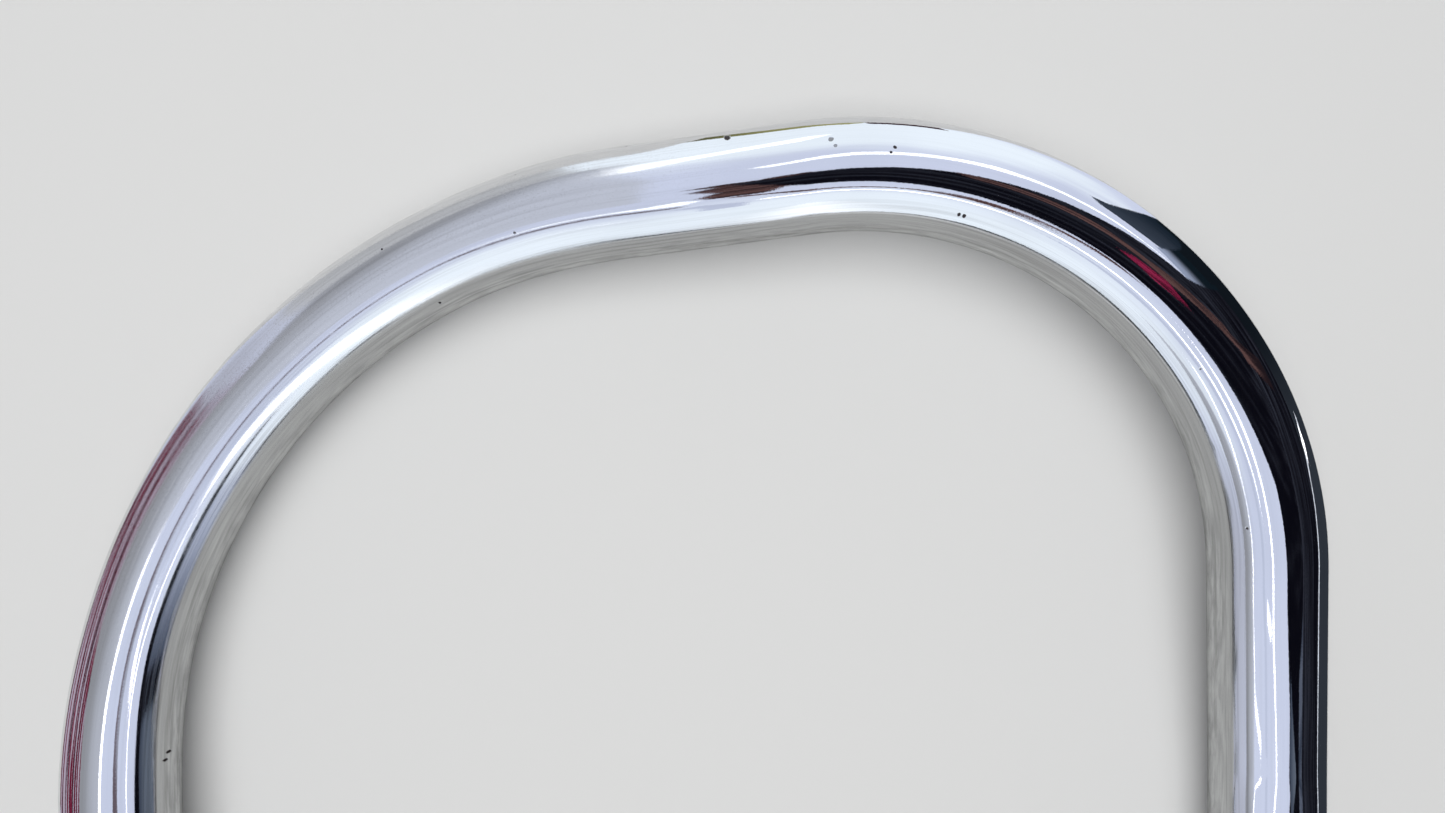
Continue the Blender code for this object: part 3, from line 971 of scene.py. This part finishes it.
def plated_material(name, dark, light, stain, rough_low, rough_high):
    """Dull plated steel: mottled plating, grain, stains and worn brighter spots."""
    material, n, shader = surface_material(name, Metallic=1.0)
    # Pieces that share a mesh differ by where they stand
    stands_at = n.add("ShaderNodeObjectInfo").outputs["Location"]
    place = n.vector_math("ADD", [n.object_place(), stands_at], "Vector")
    mottle = n.noise(place, 420.0, 4.0, 0.6, 0.5)
    stains = n.noise(place, 170.0, 4.0, 0.65)
    grit = n.noise(place, 3200.0, 3.0, 0.7)
    distance, pick = n.cells(place, 900.0)
    worn = n.times(n.remap(pick, 0.7, 0.75), n.remap(distance, 0.15, 0.35, 1.0, 0.0))
    base = n.mix(n.remap(mottle, 0.3, 0.7), dark, light)
    stained = n.mix(n.remap(stains, 0.52, 0.75, 0.0, 0.75), base, stain)
    bright = tuple(min(0.95, channel * 1.25) for channel in light)
    n.put(n.mix(n.times(worn, 0.5), stained, bright), shader["Base Color"])
    rough = n.total(
        n.remap(mottle, 0.3, 0.7, rough_low, rough_high),
        n.remap(stains, 0.52, 0.75, 0.0, 0.15),
        n.remap(grit, 0.4, 0.8, 0.0, 0.06),
    )
    n.put(rough, shader["Roughness"])
    n.put(n.bump(grit, 0.00003, 0.6, n.bump(mottle, 0.00003, 0.5)), shader["Normal"])
    return material


# ---------------------------------------------------------------- studio

CAMERA_PLACE = Vector((0.005, 0.085, 0.2694))
SENSOR_WIDTH = 36.0
LENS = 27.056
NEAR_CLIP = 0.01
FLOOR_SIZE = 8.0
FLOOR_HEIGHT = -0.0004
FLOOR_ROUGHNESS = 0.9
X_AXIS, Y_AXIS, Z_AXIS = range(3)

# What the chrome mirrors is made of cards, which only reflections see. Their shapes are in millimetres.
MILLIMETRES = 1000
CARD_HEIGHT = 280
CARD_FAR_Y = 600
FLOOR_CARD_HEIGHT = -0.2
TRIM_HEIGHT = -0.6
PIT_HEIGHT = -410

# A card's light: its colour. If it changes along an axis: the second colour, the axis, where the change
# starts and ends in metres, how far streaks move it, and how densely the streaks lie along each axis.
CARD_LIGHTS = {
    "black": ((0.003, 0.003, 0.006), (0.045, 0.050, 0.070), Y_AXIS, -0.05, 0.75, 1.3, (9, 60, 9)),
    "brown": ((0.016, 0.010, 0.013), (0.14, 0.075, 0.070), Z_AXIS, 0.16, 0.40, 0.7, (6, 120, 6)),
    "mauve": ((0.46, 0.49, 0.60), (0.14, 0.110, 0.135), Y_AXIS, -0.066, -0.054, 0.02, (40, 120, 6)),
    "red": ((0.03, 0.004, 0.012), (0.32, 0.022, 0.075), Z_AXIS, 0.18, 0.38, 0.9, (40, 420, 20)),
    "grey": ((0.30, 0.31, 0.34), (0.56, 0.59, 0.68), X_AXIS, -0.42, -0.12, 0.16, (7, 7, 7)),
    "dusk": ((0.035, 0.045, 0.070), (0.12, 0.14, 0.19), Z_AXIS, 0.18, 0.36, 0.6, (6, 40, 6)),
    "slope": ((0.90, 0.97, 1.04), (1.7, 1.75, 1.8), X_AXIS, 0.03, 0.15, 0.03, (9, 9, 9)),
    "dark_wall": ((0.003, 0.003, 0.006), (0.045, 0.050, 0.070), Z_AXIS, -0.05, 0.75, 1.3, (9, 9, 60)),
    "low_wall": ((0.030, 0.036, 0.047), (0.006, 0.009, 0.013), Y_AXIS, 0.08, 0.22, 0.03, (6, 6, 6)),
    "blue_wall": ((0.12, 0.145, 0.19), (0.055, 0.070, 0.105), Z_AXIS, 0.12, 0.20, 0.05, (6, 6, 90)),
    "streaked": ((0.08, 0.10, 0.15), (0.50, 0.55, 0.70), Y_AXIS, -0.135, -0.300, 0.16, (6, 6, 120)),
    "haze": ((0.006, 0.012, 0.018), (0.32, 0.37, 0.50), Z_AXIS, 0.12, 0.25, 0.04, (5, 5, 5)),
    "teal": ((0.012, 0.020, 0.032), (0.040, 0.052, 0.075), Z_AXIS, -0.30, 0.50, 0.5, (5, 5, 20)),
    "wall_grey": ((0.46, 0.47, 0.49), (0.55, 0.56, 0.59), Z_AXIS, -0.2, 0.6, 0.3, (3, 3, 9)),
    "olive": ((0.05, 0.05, 0.03), (0.34, 0.33, 0.14), X_AXIS, -0.03, 0.03, 0.05, (30, 30, 6)),
    "room": ((0.11, 0.13, 0.16), (0.006, 0.011, 0.015), Y_AXIS, 0.16, 0.36, 0.06, (8, 8, 8)),
    "white": ((1.5, 1.55, 1.6),),
    "strip": ((2.6, 2.6, 2.7),),
    "blue": ((0.57, 0.62, 0.78),),
    "rail": ((0.85, 0.90, 1.00),),
    "skirt": ((0.05, 0.055, 0.06),),
}

# Level cards: name, light, height, outline
DARK_PANEL = [(-24, 112), (-10, 120), (-2, 114), (10, 130), (30, 142), (80, 172), (160, 212), (260, 245)]
DARK_PANEL += [(400, 262), (400, -90), (340, -115), (370, -450), (200, -450), (225, -120), (192, -65)]
DARK_PANEL += [(185, -20), (120, -4), (85, 8), (50, 13), (22, 20), (12, 36), (2, 60)]
BROWN_PANEL = [(-46, 112), (-30, 100), (-40, 82), (-24, 50), (-30, 20), (-22, -6), (6, -5), (12, 50)]
BROWN_PANEL += [(20, 100), (10, 136), (-8, 130), (-12, 120), (-26, 122)]
GREY_PANEL = [(-190, -450), (-190, 0), (-110, 0), (-60, 60), (-80, 250), (-140, 420), (-240, 900)]
GREY_PANEL += [(-1200, 900), (-640, 500), (-405, 225), (-440, 210), (-560, 150), (-640, 30), (-540, -30)]
GREY_PANEL += [(-480, -90), (-480, -450)]
NORTH_LIGHT = [(-20, 225), (30, 268), (110, 290), (230, 300), (380, 266), (270, 320), (170, 340)]
NORTH_LIGHT += [(100, 320), (30, 300), (-30, 240)]
DUSK_PANEL = [(340, -115), (400, -90), (600, -90), (600, -450), (370, -450)]
GLEAM = [(-75, -22), (-34, -30), (-26, -6), (-38, 8), (-50, -6)]
RED_PATCH = [(150, 72), (196, 86), (204, 122), (168, 116), (146, 98)]
ROOM_FLOOR = [(100, -600), (2000, -600), (2000, 1700), (640, 560), (345, 262), (100, 200)]
PANELS = [
    ("dark_panel", "black", CARD_HEIGHT, DARK_PANEL),
    ("dusk_panel", "dusk", CARD_HEIGHT, DUSK_PANEL),
    ("brown_panel", "brown", CARD_HEIGHT + 1, BROWN_PANEL),
    ("gleam", "white", CARD_HEIGHT + 1, GLEAM),
    ("red_patch", "red", CARD_HEIGHT - 3, RED_PATCH),
    ("grey_panel", "grey", CARD_HEIGHT + 2, GREY_PANEL),
    ("north_light", "white", CARD_HEIGHT + 1, NORTH_LIGHT),
    ("room_floor", "room", PIT_HEIGHT, ROOM_FLOOR),
]

# Level strips: name, light, height, width, route
BROWN_LINE = [(-10, -10), (15, -27), (34, -50), (42, -48), (53, -21), (85, 0)]
BROWN_TAIL = [(-34, -61), (-44, -58), (-60, -53), (-74, -50)]
BROWN_STREAK = [(85, 160), (137, 166), (173, 161), (209, 138), (259, 147), (399, 168)]
NORTH_GLOW = [(-170, 440), (-160, 600), (-100, 760), (-50, 1300)]
NEAR_LINE = [(80, -40), (74, -52), (70, -62), (72, -90), (98, -140), (104, -190)]
FAR_LINE = [(-170, -5), (-176, -30), (-187, -45), (-191, -100)]
LOW_LINE = [(-191, -100), (-190, -137), (-164, -190), (-66, -183)]
OLIVE_TRIM = [(-10, 186), (2, 196), (12, 212), (26, 233), (42, 237)]
STRIPS = [
    ("brown_line", "brown", CARD_HEIGHT - 1, 11, BROWN_LINE),
    ("brown_tail", "mauve", CARD_HEIGHT + 1, 22, BROWN_TAIL),
    ("brown_streak", "brown", CARD_HEIGHT - 2, 34, BROWN_STREAK),
    ("north_glow", "white", CARD_HEIGHT + 3, 90, NORTH_GLOW),
    ("near_line", "strip", CARD_HEIGHT + 3, 10, NEAR_LINE),
    ("bow_line", "strip", CARD_HEIGHT + 4, 9, [(52, -92), (41, -92), (12, -88)]),
    ("far_line", "strip", CARD_HEIGHT + 1, 18, FAR_LINE),
    ("low_line", "strip", CARD_HEIGHT + 1, 9, LOW_LINE),
    ("blue_line", "blue", CARD_HEIGHT + 4, 26, [(-30, -80), (-7, -108), (-3, -170)]),
    ("olive_trim", "olive", TRIM_HEIGHT, 30, OLIVE_TRIM),
    ("red_trim", "red", TRIM_HEIGHT, 24, [(46, 234), (60, 231), (78, 222)]),
]

# Upright cards: name, light, the two ends, bottom, top
WALLS = [
    ("dark_wall", "dark_wall", (400, -300), (400, 262), 30, CARD_HEIGHT),
    ("low_wall", "low_wall", (402, -600), (402, 330), PIT_HEIGHT, 40),
    ("blue_wall", "blue_wall", (200, -112), (200, -60), -400, 200),
    ("black_wall", "dark_wall", (200, -142), (200, -112), -400, 220),
    ("streaked_wall", "streaked", (200, -300), (200, -142), -400, 200),
    ("haze_wall", "haze", (400, 262), (420, 345), 0, CARD_HEIGHT),
    ("brown_fall", "brown", (397, 138), (397, 172), 110, CARD_HEIGHT),
    ("red_stripes", "stripes", (-1300, -400), (-1300, 560), -600, 1200),
    ("grey_wall", "wall_grey", (-760, 560), (-400, 1100), -400, 900),
    ("near_trim", "skirt", (-2000, -1600), (2000, -1600), -600, 60),
]
GABLE = [(490, 280), (533, 213), (565, 55), (633, -274), (830, -1140), (2000, -1200), (2000, 460)]
GABLE += [(800, 470), (684, 480), (600, 430), (530, 370)]

# Strips in an upright plane: name, light, the plane's direction, width, route
SLOPE_LIGHT = [(240, -450, 620), (190, -450, 490), (120, -450, 300), (70, -450, 150), (40, -450, 20)]
RAIL_LIGHT = [(396, 125, -40), (396, 100, -5), (396, 70, 25), (396, 30, 38), (396, -40, 38), (396, -120, 32)]
UPRIGHT_STRIPS = [
    ("slope_light", "slope", (0.0, 1.0, 0.0), 110, SLOPE_LIGHT),
    ("rail_light", "rail", (1.0, 0.0, 0.0), 9, RAIL_LIGHT),
    ("rail_glint", "strip", (1.0, 0.0, 0.0), 20, [(395, 110, -26), (395, 92, 2)]),
]

# The floor as the chrome sees it
FLOOR_CARD = [(-190, -600), (165, -600), (165, 50), (150, 115), (132, 138), (112, 148), (85, 190)]
FLOOR_CARD += [(71, 214), (50, 221), (29, 222), (13, 203), (4, 190), (-4, 182), (-20, 215), (-50, 300)]
FLOOR_CARD += [(-90, 380), (-120, 300), (-130, 200), (-132, 140), (-134, 108), (-140, 96), (-150, 80)]
FLOOR_CARD += [(-165, 72), (-182, 50), (-190, 0)]


def glowing_material(name):
    """A material that only glows, and the socket that takes its colour."""
    material = bpy.data.materials.new(name)
    material.use_nodes = True
    material.node_tree.nodes.clear()
    material.cycles.emission_sampling = "NONE"
    n = Nodes(material.node_tree)
    emission = n.add("ShaderNodeEmission")
    output = n.add("ShaderNodeOutputMaterial")
    n.put(emission.outputs["Emission"], output.inputs["Surface"])
    return material, n, emission.inputs["Color"]


def card_material(name, colour, second=None, axis=X_AXIS, start=0.0, end=1.0, grain=0.0, density=None):
    """Light of one colour, or of two that change along an axis, with some streaks."""
    material, n, glow = glowing_material(name)
    shade = colour
    if second:
        place = n.object_place()
        level = n.total(n.axes(place)[axis], n.swing(n.stretched_noise(place, density, 4.0, 0.6), grain))
        shade = n.mix(n.remap(level, start, end), colour, second)
    n.put(shade, glow)
    return material


def striped_material(name, ground, broad, fine, density):
    """A wall of one colour with broad and fine lines lying along it."""
    material, n, glow = glowing_material(name)
    place = n.object_place()
    wide = n.stretched_noise(place, density, 1.0)
    thin = n.stretched_noise(place, tuple(2.3 * part for part in density), 2.0)
    lined = n.mix(n.remap(wide, 0.48, 0.52), ground, broad)
    n.put(n.mix(n.remap(thin, 0.54, 0.58), lined, fine), glow)
    return material


def metres(point):
    return Vector([part / MILLIMETRES for part in point])


def glossy_only(name, shape, material):
    """A card: seen in reflections and nowhere else, and not part of the object."""
    item = add_object(name, mesh_from(name, shape))
    item.data.materials.append(material)
    for ray in ("camera", "diffuse", "shadow", "transmission", "volume_scatter"):
        setattr(item, f"visible_{ray}", False)


def card(name, corners, material):
    shape = bmesh.new()
    shape.faces.new(ring_of(shape, [metres(corner) for corner in corners]))
    glossy_only(name, shape, material)


def level_card(name, outline, height, material):
    card(name, [(x, y, height) for x, y in outline], material)


def wall_card(name, start, stop, low, high, material):
    card(name, [(*start, low), (*stop, low), (*stop, high), (*start, high)], material)


def ribbon_card(name, route, width, facing, material):
    """A strip light along a route, lying in the plane that faces one way."""
    shape = bmesh.new()
    points = [metres(place) for place in route]
    pairs = []
    for index, point in enumerate(points):
        before, after = points[max(0, index - 1)], points[min(len(points) - 1, index + 1)]
        across = (after - before).normalized().cross(facing) * width / MILLIMETRES / 2
        pairs.append(ring_of(shape, [point - across, point + across]))
    for first, second in zip(pairs, pairs[1:]):
        shape.faces.new((first[0], first[1], second[1], second[0]))
    glossy_only(name, shape, material)


def build_cards():
    """What the chrome mirrors: panels just above the camera, strip lights, walls and the floor's trims."""
    lights = {name: card_material(f"card_{name}", *light) for name, light in CARD_LIGHTS.items()}
    lights["stripes"] = striped_material(
        "card_stripes", (0.44, 0.38, 0.47), (0.16, 0.010, 0.036), (0.020, 0.006, 0.012), (0.8, 0.8, 11.0)
    )
    for name, light, height, outline in PANELS:
        level_card(name, outline, height, lights[light])
    for name, light, height, width, route in STRIPS:
        ribbon_card(name, [(x, y, height) for x, y in route], width, UP, lights[light])
    for name, light, facing, width, route in UPRIGHT_STRIPS:
        ribbon_card(name, route, width, Vector(facing), lights[light])
    for name, light, start, stop, low, high in WALLS:
        wall_card(name, start, stop, low, high, lights[light])
    card("teal_wall", [(x, CARD_FAR_Y, z) for x, z in GABLE], lights["teal"])


def build_floor_card():
    """The floor as the chrome sees it: it ends just beyond the legs, and inside the hoop its colour is
    darker, which is painted shade.
    """
    material, n, shader = surface_material("mirrored_floor", Roughness=FLOOR_ROUGHNESS)
    place = n.object_place()
    blotch = n.remap(n.noise(place, 120.0, 6.0, 0.7), 0.25, 0.75)
    # The darker colours inside the hoop are painted shade
    shaded_inner = n.mix(blotch, (0.26, 0.26, 0.25), (0.50, 0.50, 0.48))
    outer = n.mix(blotch, (0.55, 0.55, 0.54), (0.70, 0.70, 0.69))
    reach = n.vector_math("LENGTH", [n.stretched(place, (7.4, 7.0, 0.0))])
    n.put(n.mix(n.remap(reach, 0.95, 1.10), shaded_inner, outer), shader["Base Color"])
    level_card("mirrored_floor", FLOOR_CARD, FLOOR_CARD_HEIGHT, material)


def build_floor():
    """The plain pale floor, which everything but the chrome sees."""
    bpy.ops.mesh.primitive_plane_add(size=FLOOR_SIZE, location=(0.0, 0.0, FLOOR_HEIGHT))
    floor = bpy.context.object
    floor.name = "floor"
    material, n, shader = surface_material("pale_floor", Roughness=FLOOR_ROUGHNESS)
    n.put((0.74, 0.74, 0.73), shader["Base Color"])
    floor.data.materials.append(material)
    floor.visible_glossy = False


def build_world():
    """Even light for everything, and a lilac room with brighter sides for the chrome."""
    world = bpy.data.worlds.new("studio")
    bpy.context.scene.world = world
    world.use_nodes = True
    background = world.node_tree.nodes["Background"]
    n = Nodes(world.node_tree)
    ray = n.add("ShaderNodeLightPath").outputs
    way = n.add("ShaderNodeTexCoord").outputs["Generated"]
    x, y, _ = n.axes(way)
    sides = n.total(n.math("ABSOLUTE", y), n.swing(n.noise(way, 2.6, 2.0), 0.5))
    lilac = n.mix(n.remap(sides, 0.50, 0.92), (0.65, 0.70, 0.87), (0.92, 1.00, 1.08))
    mirrored = n.mix(n.remap(x, -0.65, -0.95), lilac, (0.47, 0.49, 0.58))
    seen = n.mix(ray["Is Diffuse Ray"], (0.75, 0.76, 0.78), (0.27, 0.272, 0.28))
    n.put(n.mix(ray["Is Glossy Ray"], seen, mirrored), background.inputs["Color"])


def build_soft_light(name, place, size, energy):
    data = bpy.data.lights.new(name, "AREA")
    data.shape = "SQUARE"
    data.size = size
    data.energy = energy
    light = add_object(name, data)
    light.location = place
    light.visible_glossy = False


def build_camera():
    data = bpy.data.cameras.new("camera")
    data.sensor_width = SENSOR_WIDTH
    data.lens = LENS
    data.clip_start = NEAR_CLIP
    camera = add_object("camera", data)
    camera.location = CAMERA_PLACE
    bpy.context.scene.camera = camera


def main():
    build_tube(tube_chrome())
    plate, weld = lug_chrome(), weld_chrome()
    for side, leg_x, inward in (("left", LEFT_END.x, 1.0), ("right", RIGHT_END.x, -1.0)):
        build_lug(side, leg_x, inward, plate)
        build_weld(side, leg_x, inward, weld)
    build_fastenings(plated_material("zinc_plate", *ZINC), plated_material("spring_steel", *SPRING_STEEL))
    build_camera()
    build_floor()
    build_cards()
    build_floor_card()
    build_world()
    build_soft_light("softbox", (-0.03, 0.10, 0.80), 0.65, 2.9)
    build_soft_light("overhead", (-0.05, 0.15, 2.50), 2.50, 24.5)
    bpy.context.scene.view_settings.view_transform = "Standard"


main()
